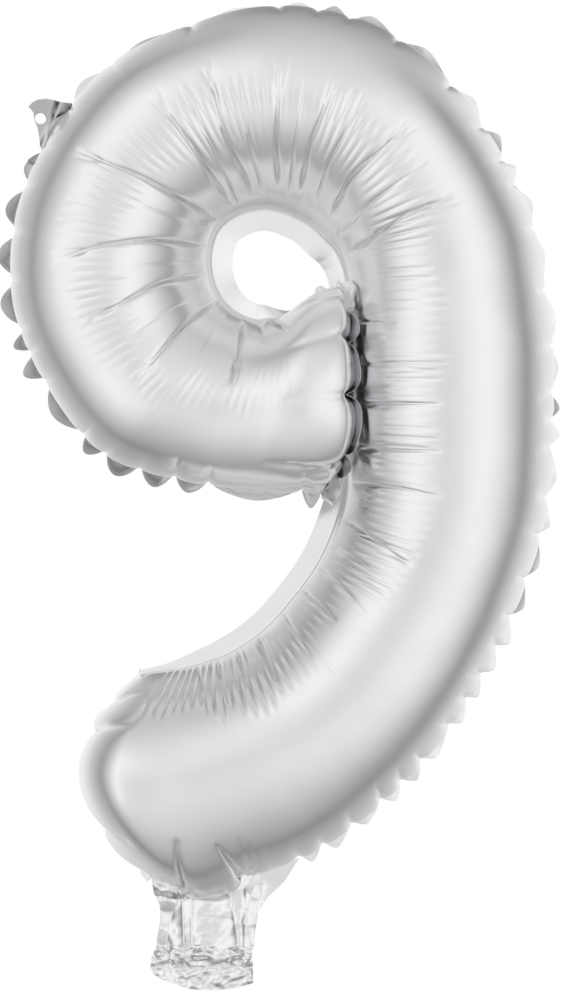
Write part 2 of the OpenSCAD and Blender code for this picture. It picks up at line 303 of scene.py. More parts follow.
def crease_field(X, Z, seed, lines, narrow=1.0, power=0.42, foot=0.12):
    """Depth of the creases at each point of the panel, in mm."""
    D = np.zeros_like(X)
    r = np.random.RandomState(seed)
    fans = []
    for pts, depth in lines:                                               # a deep crease ends in a small fan
        if depth < 1.4 or foot > 0.2:
            continue
        q = np.array(pts, float)
        d = q[-1] - q[-2]
        ln = np.linalg.norm(d)
        d, n = d / ln, np.array([-d[1], d[0]]) / ln
        for sg in (-1, 1):
            t = r.uniform(9, 13)
            a = q[-1] - d * t + n * sg * 0.4
            fans.append(([tuple(a), tuple(a + d * (t + r.uniform(2, 5)) + n * sg * r.uniform(1.6, 2.8))], 0.22 * depth))
    for pts, depth in list(lines) + fans:
        p = np.array(pts, float)
        if seed:
            p = p + r.uniform(-5, 5, 2) + r.uniform(-2, 2, p.shape)
            depth = depth * r.uniform(0.5, 1.15)
        if len(p) == 2:
            p = np.array([p[0], p.mean(0) + r.uniform(-0.8, 0.8, 2), p[1]])
        q = np.linspace(0, 1, 17)
        k = np.linspace(0, 1, len(p))
        p = np.column_stack([np.interp(q, k, p[:, 0]), np.interp(q, k, p[:, 1])])
        for _ in range(2):
            p[1:-1] = (p[:-2] + 2 * p[1:-1] + p[2:]) / 4
        L = arc(p)
        lo, hi = p.min(0) - 14, p.max(0) + 14
        m = (X > lo[0]) & (X < hi[0]) & (Z > lo[1]) & (Z < hi[1])
        if not m.any():
            continue
        v = np.column_stack([X[m], Z[m]])
        best = np.full(len(v), 1e9)
        where = np.zeros(len(v))
        for a in range(len(p) - 1):
            e = p[a + 1] - p[a]
            t = np.clip(((v - p[a]) @ e) / (e @ e), 0, 1)
            d = np.linalg.norm(v - (p[a] + t[:, None] * e), axis=1)
            n = d < best
            best[n] = d[n]
            where[n] = (L[a] + t[n] * (L[a + 1] - L[a])) / L[-1]
        taper = (1 - where) ** power * smooth(where / 0.16 + foot)
        w = (0.46 + 0.26 * (1 - where)) * narrow
        D[m] += 1.2 * depth * taper * (0.66 * np.exp(-(best / w) ** 1.1) + (0.34 if depth > 1 else 0.12) * np.exp(-best / 2.6))
    return D


def wrinkle_field(side, seed):
    """Fine wrinkles across the crest's inner flank, evenly spaced, as rounded ribs with narrow valleys."""
    tb = table(U, [(0, 0.12), (2, 0.12), (4, 0.22), (8, 0.30), (12, 0.33), (15, 0.46), (19, 0.52), (21, 0.60), (22.5, 0.60), (25, 0.48), (28, 0.4)])
    hw = table(U, [(0, 0.10), (2, 0.12), (4, 0.16), (8, 0.17), (12, 0.15), (15, 0.17), (19, 0.16), (22, 0.14), (25, 0.12), (28, 0.1)])
    amp = table(U, [(0, 0), (0.8, 0.0), (1.3, 0.46), (3.5, 0.50), (6, 0.52), (9, 0.58), (12, 0.58), (14, 0.54), (18, 0.60),
                    (20, 0.50), (22, 0.54), (23.2, 0.26), (24, 0.14), (25.5, 0.24), (27, 0.0), (28, 0)])
    c = flat(U, tb)
    s = arc(c)
    phase = 2 * np.pi * s / 3.7 + 1.6 * noise1(s, 18, seed) + 0.5 * noise1(s, 6, seed + 1)
    rib = np.abs(np.cos(phase / 2)) - 0.64
    a = amp * (0.62 + 0.38 * noise1(s, 9, seed + 2)) * (0.8 + 0.35 * noise1(s, 26, seed + 3))
    end = 0.05 * noise1(s, 4.2, seed + 4)
    start = 0.06 * noise1(s, 5.0, seed + 5)
    lo = (tb - hw + start)[:, None]
    hi = (tb + hw + end)[:, None]
    env = smooth((TX - lo + 0.05) / 0.11) * smooth((hi - TX) / 0.06)
    return 1.35 * rib[:, None] * a[:, None] * env


def strip(seam, out, width, reach, sign, curl):
    """F rows of a seal strip from its seam: flat in the plane where reach equals width, else turned out of it."""
    tilt = np.arccos(np.clip(reach / width, 0.12, 1.0)) * sign
    rows, p = [], seam.copy()
    for k in range(F):
        a = tilt * (1 + curl * ((k + 0.5) / F - 0.5))
        p = p + np.stack([out[:, 0] * np.cos(a), np.sin(a), out[:, 1] * np.cos(a)], -1) * (width / F)[:, None]
        rows.append(p)
    return np.stack(rows, 1)


def panel(side):
    """One foil panel with its half of the heat seal: a grid of points in mm, NS + 2F by NT + 2F. side -1 is the front."""
    seed = 0 if side < 0 else 77
    xz = flat(UU, TX)
    mid = -(10.4 + 4.2 * TX) * smooth((UU - 21.5) / 6)
    h = HH.copy()
    O = flat(U, np.ones(NS))
    I = flat(U, np.zeros(NS))
    E0 = flat(np.zeros(NT), TAU)
    E1 = flat(np.full(NT, float(LAST)), TAU)
    C = flat(U, np.full(NS, 0.5))
    out_o, out_i = side_out(O, C), side_out(I, C)
    out_0 = side_out(E0, flat(np.full(NT, 0.5), TAU))
    out_1 = side_out(E1, flat(np.full(NT, LAST - 0.5), TAU))
    so, si, s0, s1 = arc(O), arc(I), arc(E0), arc(E1)
    apex = table(U, [(0, 0.3), (8, 0.32), (10, 0.5), (13, 0.6), (17, 0.55), (20, 0.5), (24, 0.5), (28, 0.5)])
    gap = table(U, [(0, 0.0), (9, 0.0), (12, 0.05), (17, 0.02), (20.5, 0.09), (23, 0.10), (24.5, 0.03), (28, 0.02)])
    sharp = table(U, [(0, 0.85), (9, 0.8), (11, 0.5), (14, 0.7), (18, 0.6), (20.5, 0.0), (24, 0.1), (28, 0.3)])
    marks = nearest(O, PINCHES)
    Lo, io, mo = lobes(so, marks, so[-1], 3, apex, gap, sharp)
    body, _, _ = lobes(so, marks, so[-1])                                  # the film bulges evenly between pinches
    L0, _, m0 = lobes(s0, nearest(E0, TAIL_PINCHES), s0[-1], 5)
    L1, _, m1 = lobes(s1, nearest(E1, BOWL_PINCHES), s1[-1], 6)
    # the bowed film overhangs its seam, which is drawn in by this much
    under = table(U, [(0, 3.5), (0.3, 2.0), (1.6, 1.6), (2.2, 4.2), (5, 5.2), (9, 5.6), (13, 5.4), (17, 5.0), (19, 3.0), (20, 3.2),
                      (21, 3.6), (22, 3.6), (24, 3.2), (25, 2.8), (27, 2.8), (28, 2.4)])
    notch = table(U, [(0, 0.6), (0.5, 0.2), (1.6, 0.2), (2.4, 1.1), (5, 1.3), (12, 1.2), (17, 1.1), (20, 0.4), (22, 0.35), (24, 0.6), (26, 1.0), (28, 1.0)])
    prot = table(U, [(0, 0.8), (0.4, 0.4), (1.7, 0.5), (2.2, 2.6), (5, 2.7), (8, 2.2), (9.5, 1.5), (12, 1.3), (13, 1.9), (14, 2.8),
                     (16, 2.3), (17.2, 1.2), (18, 0.6), (18.9, 0.8), (19.3, 3.0), (19.6, 2.6), (20.2, 2.0), (20.8, 5.0), (23, 5.2), (24.5, 4.6), (25.5, 4.4), (26.5, 5.4), (27.3, 5.8), (28, 5.6)])
    y0 = 9.0
    c = 1 - np.sqrt(np.clip(1 - np.clip(1 - h / y0, 0, 1) ** 2, 0, 1))
    near_o = smooth((TAU - 0.6) / 0.2)[None] * smooth(CAP / 0.5)[:, None]
    xz -= out_o[:, None] * (under[:, None] * c * near_o)[..., None]
    # at a pinch the film is drawn in all the way down its side
    side_wall = np.clip(1 - h / 17.0, 0, 1) ** 0.8 * near_o
    near_mark = np.min(np.abs(so[:, None] - mo[None, 1:-1]), axis=1)
    xz -= out_o[:, None] * ((notch * np.exp(-(near_mark / 1.5) ** 1.2) + 0.35 * notch * (1 - body))[:, None] * side_wall)[..., None]
    root = nearest(O, [(56.2, -308.2), (83.0, -305.0)])
    pulled = np.exp(-(np.min(np.abs(so[:, None] - root[None]), axis=1) / 1.7) ** 1.2)
    between = smooth((so - root[0]) / 4) * smooth((root[1] - so) / 4)
    xz += out_o[:, None] * ((1.5 * between - 2.6 * pulled)[:, None] * side_wall)[..., None]
    w0 = smooth((0.7 - U) / 0.45)[:, None] * np.sin(np.pi * np.clip(TAU, 0, 1))[None] ** 0.5
    xz -= out_0[None] * (4.5 * c * w0)[..., None]
    w1 = smooth((U - LAST + 0.5) / 0.45)[:, None] * np.sin(np.pi * TAU)[None] ** 0.5
    xz -= out_1[None] * (3.2 * c * w1)[..., None]
    # pinches draw in both ends too, and the film stands out between them
    for (L, m, T, wt, out, run, tallest, deep) in ((L0, m0, s0, TAIL_WEIGHT, out_0, smooth((1.3 - U) / 1.1), 20.0, 1.5),
                                                   (L1, m1, s1, BOWL_WEIGHT, out_1, smooth((U - LAST + 1.3) / 1.1), 26.0, 2.1)):
        gather = 0.55 * (1 - L)
        for k in range(1, len(m) - 1):
            gather = gather + wt[k - 1] * np.exp(-(np.abs(T - m[k]) / 1.7) ** 1.2)
        gather = deep * gather * np.sin(np.pi * TAU) ** 0.5
        xz -= out[None] * (gather[None] * np.clip(1 - h / tallest, 0, 1) ** 0.7 * run[:, None])[..., None]
    # round the counter the bowl's film rolls over its seam
    w2 = smooth((U - 25.3) / 1.0)[:, None] * smooth((0.3 - TAU) / 0.2)[None]
    xz -= out_i[:, None] * (3.4 * c * w2)[..., None]
    # the panels part where the valve passes through the seam
    part = smooth((0.95 - np.abs(U - 1.05)) / 0.4)
    edge = np.exp(-((1 - TAU) / 0.05) ** 2)[None]
    P = np.stack([xz[..., 0], mid + side * (h + 1.8 * part[:, None] * edge), xz[..., 1]], -1)

    # features along the normal
    N = grid_normals(P)
    N *= np.sign((N[..., 1] * side).sum())
    X, Z = P[..., 0], P[..., 2]
    rim = smooth(np.minimum(TAU, 1 - TAU)[None] / 0.03) * smooth(np.minimum(np.arange(NS), np.arange(NS)[::-1])[:, None] / 6)
    D = -1.38 * crease_field(X, Z, seed, CREASES, 0.88) * smooth((0.88 - TX) / 0.1)
    D -= crease_field(X, Z, seed, GROOVES, 1.15, 0.45, 1.0)
    D += wrinkle_field(side, 11 + seed)
    D += 0.10 * noise2(X, Z, 17, 5 + seed) + 0.04 * noise2(X, Z, 8, 6 + seed)
    D *= rim
    # pinches of the outer seam run a little way up the film
    pl = np.random.RandomState(40 + seed)
    step = np.linalg.norm(np.diff(P, axis=1), axis=-1)
    fe_o = np.concatenate([np.cumsum(step[:, ::-1], 1)[:, ::-1], np.zeros((NS, 1))], 1)
    k_side = table(U, [(0, 0.5), (1.6, 0.5), (2.4, 1.1), (9, 1.0), (12, 0.7), (15, 0.6), (18, 0.35), (20, 0.3), (24, 0.45), (26, 0.9), (28, 1.0)])
    for k in range(1, len(mo) - 1):
        j = int(np.argmin(np.abs(so - mo[k])))
        ln, dp, lean = pl.uniform(19, 26), pl.uniform(0.8, 1.3) * k_side[j], pl.uniform(-0.22, 0.22)
        ds = np.abs(so[:, None] - mo[k] - lean * np.maximum(fe_o - 8, 0))
        e = np.clip(1 - fe_o / ln, 0, 1)
        D -= dp * e ** 0.7 * (0.75 * np.exp(-ds / 0.75) + 0.25 * np.exp(-(ds / 3.0) ** 2)) * (ds < 12)
        if pl.rand() < 0.6:                                                # often a second, shorter fold beside it
            o2 = pl.choice([-1, 1]) * pl.uniform(1.6, 3.2)
            ds = np.abs(so[:, None] - mo[k] - o2 + 0.15 * o2 * fe_o / 10)
            D -= 0.45 * dp * np.clip(1 - fe_o / (ln - 2), 0, 1) * np.exp(-ds / 0.6) * (ds < 8)
    D += 0.45 * body[:, None] * np.clip(1 - fe_o / 20, 0, 1) * smooth(fe_o / 4)
    for (L, m, T, near, wt) in ((L0, m0, s0, 0, TAIL_WEIGHT), (L1, m1, s1, 1, BOWL_WEIGHT)):
        d = np.linalg.norm(np.diff(P, axis=0), axis=-1)
        fe = np.concatenate([np.zeros((1, NT)), np.cumsum(d, 0)]) if near == 0 else \
            np.concatenate([np.cumsum(d[::-1], 0)[::-1], np.zeros((1, NT))])
        for k in range(1, len(m) - 1):
            wk = wt[k - 1]
            ln = (31 if near == 0 else 44) * (0.6 + 0.4 * wk)
            ds = np.abs(T[None] - m[k] - pl.uniform(-0.15, 0.15) * fe)
            e = np.clip(1 - fe / ln, 0, 1)
            D -= (2.3 if near == 0 else 1.6) * wk * e ** 0.6 * (0.62 * np.exp(-ds / 1.0) + 0.33 * np.exp(-ds / 3.4)) * (ds < 16)
        D += 1.1 * L[None] * np.clip(1 - fe / 36, 0, 1) * smooth(fe / 6)
    D[:, 0] = D[:, -1] = 0
    D[0] = D[-1] = 0
    P = P + N * D[..., None]

    # heat seal: F rows all round
    G = np.zeros((NS + 2 * F, NT + 2 * F, 3))
    G[F:-F, F:-F] = P
    pr = np.random.RandomState(9)
    sgn = np.where(pr.rand(len(mo)) < 0.72, 1, -1)[io].astype(float)      # most lobes turn back, some forward
    tall = pr.uniform(0.75, 1.12, len(mo))[io]
    lo_r = np.maximum(under - 1.8, 1.2)
    reach = lo_r + (under + prot * tall - lo_r) * Lo
    turn = table(U, [(0, 0.3), (8, 0.28), (19, 0.32), (20.2, 0.45), (20.8, 0.78), (28, 0.78)]) + 0.08 * noise1(so, 6, 94)
    sgn = np.where(U > 20.4, 1.0, sgn)
    G[F:-F, -F:] = strip(P[:, -1], out_o, reach / np.cos(turn), reach, sgn, 0.4)
    # inner seal: flat round the ring, leaning back behind the bowl and where the bowl's film rolls over it
    wi = table(U, [(0, 1.4), (1, 3.0), (2, 5.5), (3, 7.2), (8, 8), (9.5, 7.5), (12, 8.2), (13, 9.2), (15.5, 9), (21, 9), (23, 8.2), (24.5, 7.0), (25.6, 6.4), (26.2, 6), (28, 5)])
    ib = table(U, [(0, 0), (6.5, 0.1), (8.5, 0.5), (12.6, 0.5), (14, 0.16), (24.8, 0.16), (25.6, 0.5), (26.3, 1.15), (28, 1.3)])
    ib = ib + 0.03 * noise1(si, 14, 92) - 0.85 * (np.exp(-((U - 27.3) / 0.16) ** 2) + np.exp(-((U - 27.85) / 0.13) ** 2))
    G[F:-F, :F] = strip(P[:, 0], out_i, wi, wi * np.cos(ib), np.sign(ib), 0.3)[:, ::-1]
    # ends
    r0 = table(TAU, [(0, 1.4), (0.08, 3.2), (0.25, 5.0), (0.5, 5.4), (0.8, 5.4), (1, 3)])
    r0 = 2.4 + (np.maximum(r0, 2.4) - 2.4) * L0
    r0 = np.minimum(r0, table(TAU, [(0, 1.4), (0.08, 3.0), (0.2, 9), (1, 9)]))
    G[:F, F:-F] = strip(P[0], out_0, r0 / 0.93, r0, np.ones(NT), 0.3).transpose(1, 0, 2)[::-1]
    b1 = 0.80 + 0.10 * noise1(s1, 7, 95)
    q1 = (7.4 + 2.4 * L1 + 0.5 * noise1(s1, 5, 96)) * table(TAU, [(0, 0.35), (0.12, 0.75), (0.25, 1), (1, 1)])
    G[-F:, F:-F] = strip(P[-1], out_1, q1, q1 * np.cos(b1), -np.ones(NT), 0.35).transpose(1, 0, 2)
    # corners
    for (ci, ri) in ((F, range(F - 1, -1, -1)), (NS + F - 1, range(NS + F, NS + 2 * F))):
        for (cj, rj) in ((F, range(F - 1, -1, -1)), (NT + F - 1, range(NT + F, NT + 2 * F))):
            o = G[ci, cj].copy()
            for i in ri:
                for j in rj:
                    u, v = G[i, cj] - o, G[ci, j] - o
                    la, lb = np.linalg.norm(u), np.linalg.norm(v)
                    G[i, j] = o + (u + v) / max(np.linalg.norm(u + v), 1e-6) * (la * la + lb * lb + 0.15 * la * lb) ** 0.5
    n = grid_normals(G)
    n *= np.sign((n[..., 1] * side).sum())
    return G + 0.13 * n


def grid_mesh(name, G, side):
    n, m = G.shape[:2]
    idx = np.arange(n * m).reshape(n, m)
    q = np.stack([idx[:-1, :-1], idx[:-1, 1:], idx[1:, 1:], idx[1:, :-1]], -1).reshape(-1, 4)
    me = bpy.data.meshes.new(name)
    V = (G * MM).reshape(-1, 3)
    a, b, c = V[q[:, 0]], V[q[:, 1]], V[q[:, 2]]
    if (np.cross(b - a, c - a)[:, 1] * side).sum() < 0:
        q = q[:, ::-1]
    me.from_pydata(V.tolist(), [], q.tolist())
    me.polygons.foreach_set("use_smooth", np.ones(len(q), bool))
    me.update()
    # the film is cut square at its edge
    e = np.empty(len(me.edges) * 2, np.int32)
    me.edges.foreach_get("vertices", e)
    i, j = np.divmod(e.reshape(-1, 2), m)
    rim = (i == 0).all(1) | (i == n - 1).all(1) | (j == 0).all(1) | (j == m - 1).all(1)
    me.attributes.new("sharp_edge", "BOOLEAN", "EDGE").data.foreach_set("value", rim)
    ob = bpy.data.objects.new(name, me)
    bpy.context.scene.collection.objects.link(ob)
    return ob


def thicken(ob, t_mm, offset=-1.0):
    md = ob.modifiers.new("film", "SOLIDIFY")
    md.thickness = t_mm * MM
    md.offset = offset
    md.use_rim = True
    md.use_quality_normals = False
    return md


# ------------------------------------------------------------------ materials
def foil(name, tint=(0.87, 0.87, 0.88), rough=0.24, seed=0.0, crinkle=0.0):
    m = bpy.data.materials.new(name)
    m.use_nodes = True
    nt = m.node_tree
    b = nt.nodes["Principled BSDF"]
    b.inputs["Metallic"].default_value = 1.0
    b.inputs["Specular IOR Level"].default_value = 0.5
    tc = nt.nodes.new("ShaderNodeTexCoord")
    mp = nt.nodes.new("ShaderNodeMapping")
    mp.inputs["Location"].default_value = (seed, seed * 1.7, seed * 0.3)
    nt.links.new(tc.outputs["Object"], mp.inputs["Vector"])
    # a faint cloudiness in the vapour coating
    n1 = nt.nodes.new("ShaderNodeTexNoise")
    n1.inputs["Scale"].default_value = 28
    n1.inputs["Detail"].default_value = 5
    nt.links.new(mp.outputs["Vector"], n1.inputs["Vector"])
    cr_ = nt.nodes.new("ShaderNodeValToRGB")
    cr_.color_ramp.elements[0].position, cr_.color_ramp.elements[1].position = 0.3, 0.75
    cr_.color_ramp.elements[0].color = (tint[0] * 0.965, tint[1] * 0.965, tint[2] * 0.965, 1)
    cr_.color_ramp.elements[1].color = (tint[0], tint[1], tint[2], 1)
    nt.links.new(n1.outputs["Fac"], cr_.inputs["Fac"])
    nt.links.new(cr_.outputs["Color"], b.inputs["Base Color"])
    # satin: the roughness varies a little
    n2 = nt.nodes.new("ShaderNodeTexNoise")
    n2.inputs["Scale"].default_value = 140
    n2.inputs["Detail"].default_value = 4
    nt.links.new(mp.outputs["Vector"], n2.inputs["Vector"])
    mr = nt.nodes.new("ShaderNodeMapRange")
    mr.inputs["To Min"].default_value = rough - 0.03
    mr.inputs["To Max"].default_value = rough + 0.04
    nt.links.new(n2.outputs["Fac"], mr.inputs["Value"])
    nt.links.new(mr.outputs["Result"], b.inputs["Roughness"])
    # the film's fine orange-peel
    n3 = nt.nodes.new("ShaderNodeTexNoise")
    n3.inputs["Scale"].default_value = 900
    n3.inputs["Detail"].default_value = 3
    nt.links.new(mp.outputs["Vector"], n3.inputs["Vector"])
    bp = nt.nodes.new("ShaderNodeBump")
    bp.inputs["Strength"].default_value = 0.10
    bp.inputs["Distance"].default_value = 0.0002
    nt.links.new(n3.outputs["Fac"], bp.inputs["Height"])
    last = bp
    if crinkle:
        v = nt.nodes.new("ShaderNodeTexVoronoi")
        v.feature = "DISTANCE_TO_EDGE"
        v.inputs["Scale"].default_value = 260
        nt.links.new(mp.outputs["Vector"], v.inputs["Vector"])
        b2 = nt.nodes.new("ShaderNodeBump")
        b2.inputs["Strength"].default_value = crinkle
        b2.inputs["Distance"].default_value = 0.0006
        nt.links.new(v.outputs["Distance"], b2.inputs["Height"])
        nt.links.new(bp.outputs["Normal"], b2.inputs["Normal"])
        last = b2
    nt.links.new(last.outputs["Normal"], b.inputs["Normal"])
    return m


FOIL_F = foil("foil_front_satin")
FOIL_B = foil("foil_back_satin", seed=3.1)
SEAL_M = foil("foil_heat_seal", tint=(0.96, 0.96, 0.965), rough=0.34, seed=5.7)
# a darker copy of the seal foil: painted shade on the bowl's turned outer seal and on the bowl-end seal
SEAL_SHADE_PAINTED = foil("foil_seal_painted_shade", tint=(0.70, 0.70, 0.71), rough=0.14, seed=7.9)

front = grid_mesh("front_foil", panel(-1), -1)
back = grid_mesh("back_foil", panel(1), 1)
for ob, mat, node, slot in ((front, FOIL_F, "front_panel", "foil_front"), (back, FOIL_B, "back_panel", "foil_back")):
    ob.data.materials.append(mat)
    ob.data.materials.append(SEAL_M)
    nq, mq = NS + 2 * F - 1, NT + 2 * F - 1
    qi, qj = np.divmod(np.arange(nq * mq), mq)
    on_seal = (qi < F) | (qi >= nq - F) | (qj < F) | (qj >= mq - F)
    # faces of the bowl's outer seal and of the bowl-end seal that get the darker seal foil, which is painted shade
    painted_shade_faces = (((qj >= mq - F) & (qi > F + np.searchsorted(U, 18.9))) | (qi >= nq - F)) & (qj > F + 6)
    ob.data.materials.append(SEAL_SHADE_PAINTED)
    ob.data.polygons.foreach_set("material_index", np.where(on_seal & painted_shade_faces, 2, on_seal.astype(np.int32)))
    thicken(ob, 0.12)
    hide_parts(node)
    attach(ob, "balloon")

# ------------------------------------------------------------------ filling neck
def resample(pts, q):
    p = np.array(pts, float)
    a = arc(p)
    return np.column_stack([np.interp(q * a[-1], a, p[:, 0]), np.interp(q * a[-1], a, p[:, 1])])


def tri_wave(x):
    return np.abs((x % 1.0) - 0.5) * 4 - 1


def facets(x, z, size, seed, n=5):
    """Crumpled film: flat facets that meet in sharp folds."""
    r = np.random.RandomState(seed)
    h = 0
    for _ in range(n):
        a, l, ph = r.uniform(0, np.pi), size * r.uniform(0.8, 1.7), r.uniform(0, 1)
        wob = 0.28 * noise2(x, z, size * 2.2, r.randint(1, 9999))
        h = h + tri_wave((x * np.cos(a) + z * np.sin(a)) / l + ph + wob) * r.uniform(0.6, 1.0)
    return h / n ** 0.5


NA, NB = ((150, 170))


def slack_film(X, Z, seed, top, edge):
    """How far a neck wall stands off the middle plane, and the crumple both walls share."""
    # the open channel runs between the two side seals
    cl = np.interp(-Z, [300, 306, 314, 322, 350], [57.5, 57.0, 54.5, 51.2, 50.0])
    cw = np.interp(-Z, [300, 306, 314, 322, 350], [81.0, 81.8, 82.4, 81.8, 81.0])
    t = np.clip((X - cl) / (cw - cl), 0, 1)
    depth = np.interp(-Z, [300, 306, 312, 320, 332, 340, 349], [0.9, 1.4, 2.6, 3.9, 3.6, 2.8, 1.6])
    bow = depth * np.sin(np.pi * t) ** 0.75
    # long folds from the feet of the two grooves, and slack facets between them
    fold = 0
    for (x0, x1, d, wd) in ((56.5, 57.5, 1.3, 1.5), (60.2, 60.6, -0.9, 1.3), (82.0, 83.6, 1.0, 1.5), (75.0, 79.5, -1.1, 1.6), (52.0, 50.5, -0.7, 1.4)):
        xc = x0 + (x1 - x0) * np.clip((-Z - 305) / 27, 0, 1)
        fold = fold + d * np.exp(-np.abs(X - xc) / wd)
    mouth = smooth((-Z - 330.2 + 1.2 * noise2(X, Z, 6, 71)) / 1.8)
    f1 = 0.92 * facets(X, Z, 13.0, seed, 4) + 0.20 * facets(X, Z, 5.2, seed + 1)
    # the mouth was rolled up once: two bands of tight crumples
    band = np.exp(-((-Z - 334.6 - 0.9 * noise2(X, Z * 0, 9, 72)) / 2.2) ** 2) * 1.5 - np.exp(-np.abs(-Z - 339.4 - 1.1 * noise2(X, Z * 0, 8, 73)) / 0.9) * 1.3
    f2 = 0.62 * facets(X, Z, 4.6, seed + 2, 6) + 0.30 * facets(X, Z, 2.3, seed + 3, 5) + band
    slack = (f1 + 1.2 * fold) * (1 - mouth) * (0.35 + 0.65 * np.clip(bow / 1.5, 0, 1)) + f2 * mouth
    v = bow + top * edge * (slack + 0.35 * noise2(X, Z, 5.5, seed + 9)) - 0.25
    y = 0.14 + 0.5 * (v + np.sqrt(v * v + 0.32))
    # both walls share the crumple of the sealed edges, so that they stay together
    both = ((1.25 * facets(X, Z, 8.0, 345) + 0.8 * noise2(X, Z, 7, 347)) * (1 - mouth) + 1.0 * facets(X, Z, 4.4, 346) * mouth) * top * (1 - np.clip(bow / 1.5, 0, 1)) \
        * smooth((-Z - 303) / 6) * (1 - 0.75 * smooth((X - 86) / 5))
    return y, both


def neck(side):
    """One wall of the filling neck, with the webs that join it to the tail's seal."""
    a, b = np.linspace(0, 1, NA), np.linspace(0, 1, NB)
    uu = np.linspace(0.0, 2.75, 60)
    seam = flat(uu, np.ones(60))
    seam = seam[(seam[:, 0] > 43.4) & (seam[:, 0] < 104.2)]
    T = resample(seam + [0, 1.0], a)
    T[:, 1] += 2.2 * smooth((T[:, 0] - 54) / 2) * smooth((87 - T[:, 0]) / 2)
    Bm = resample([(45.2, -342.2), (48, -344.2), (59.8, -348.2), (71, -348.7), (79.8, -347.4), (85, -345.8)], a)
    Lf = resample([T[0], (45.4, -309.8), (47.8, -314.8), (47.9, -320.6), (46.8, -326.6), (46.3, -331.6), (44.6, -335.0), (43.9, -339.4), Bm[0]], b)
    Rt = resample([T[-1], (97.4, -305.4), (91.0, -311.4), (87.3, -317.0), (86.0, -324.4), (85.3, -330.8), (84.6, -333.0), (84.9, -339.0), Bm[-1]], b)
    A, B = a[:, None, None], b[None, :, None]
    S = (1 - B) * T[:, None] + B * Bm[:, None] + (1 - A) * Lf[None] + A * Rt[None] \
        - ((1 - A) * (1 - B) * T[0] + A * (1 - B) * T[-1] + (1 - A) * B * Bm[0] + A * B * Bm[-1])
    X, Z = S[..., 0], S[..., 1]
    top = smooth((B[..., 0]) / 0.12)
    edge = smooth(np.minimum(A[..., 0], 1 - A[..., 0]) / 0.04)
    y, both = slack_film(X, Z, 300 if side < 0 else 370, top, edge)
    lift = 1.7 * smooth((9 - (B[..., 0] * 44)) / 9) * np.sin(np.pi * np.clip((X - 50) / 38, 0, 1))
    Y = side * (y + np.maximum(lift, 0)) + both
    return np.stack([X, Y, Z], -1)


def film_mesh(name, G, side, t, mat, body, node):
    ob = grid_mesh(name, G, side)
    thicken(ob, t)
    ob.data.materials.append(mat)
    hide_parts(node)
    if body:
        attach(ob, body)
    return ob


FOIL_N = foil("foil_neck_satin", rough=0.13, seed=1.3)
nf = film_mesh("neck_front_foil", neck(-1), -1, 0.12, FOIL_N, None, "neck_front_wall")
nb = film_mesh("neck_back_foil", neck(1), 1, 0.12, FOIL_N, None, "neck_back_wall")

# valve film: a translucent sleeve inside the neck and two flat leaves inside the balloon
poly = bpy.data.materials.new("valve_film_clear")
poly.use_nodes = True
pb = poly.node_tree.nodes["Principled BSDF"]
pb.inputs["Base Color"].default_value = (0.86, 0.88, 0.89, 1)
pb.inputs["Roughness"].default_value = 0.38
pb.inputs["IOR"].default_value = 1.5
pb.inputs["Transmission Weight"].default_value = 0.35
pn = poly.node_tree.nodes.new("ShaderNodeTexNoise")
pn.inputs["Scale"].default_value = 320
pm = poly.node_tree.nodes.new("ShaderNodeBump")
pm.inputs["Strength"].default_value = 0.2
pm.inputs["Distance"].default_value = 0.0003
ptc = poly.node_tree.nodes.new("ShaderNodeTexCoord")
poly.node_tree.links.new(ptc.outputs["Object"], pn.inputs["Vector"])
poly.node_tree.links.new(pn.outputs["Fac"], pm.inputs["Height"])
poly.node_tree.links.new(pm.outputs["Normal"], pb.inputs["Normal"])

for side, nm in ((-1, "front"), (1, "back")):
    x = np.linspace(48.9, 84.1, 110)[:, None]
    z = np.linspace(-321.8, -344.0, 80)[None]
    X, Z = x + 0 * z, z + 0 * x
    y, both = slack_film(X, Z, 300 if side < 0 else 370, 1.0, 1.0)
    y = 0.06 + 0.4 * (y - 0.14) + side * both
    film_mesh("valve_sleeve_%s" % nm, np.stack([X, side * y, Z], -1), side, 0.05, poly, "neck", "valve_%s_sleeve" % nm)
    x = np.linspace(-1, 1, 40)[:, None]
    z = np.linspace(0, 1, 70)[None]
    half = 8.0 + 3.0 * smooth((z * 60 - 10) / 22) - 4.0 * np.clip((z * 60 - 56) / 4, 0, 1)
    X, Z = 66.5 + x * half, -313.5 + 60 * z + 0 * x
    y = 0.30 + 0.10 * noise2(X, Z, 14, 83) * smooth(z * 4)
    film_mesh("valve_leaf_%s" % nm, np.stack([X, side * y, Z], -1), side, 0.05, poly, "%s_leaf" % nm, "valve_%s_leaf" % nm)

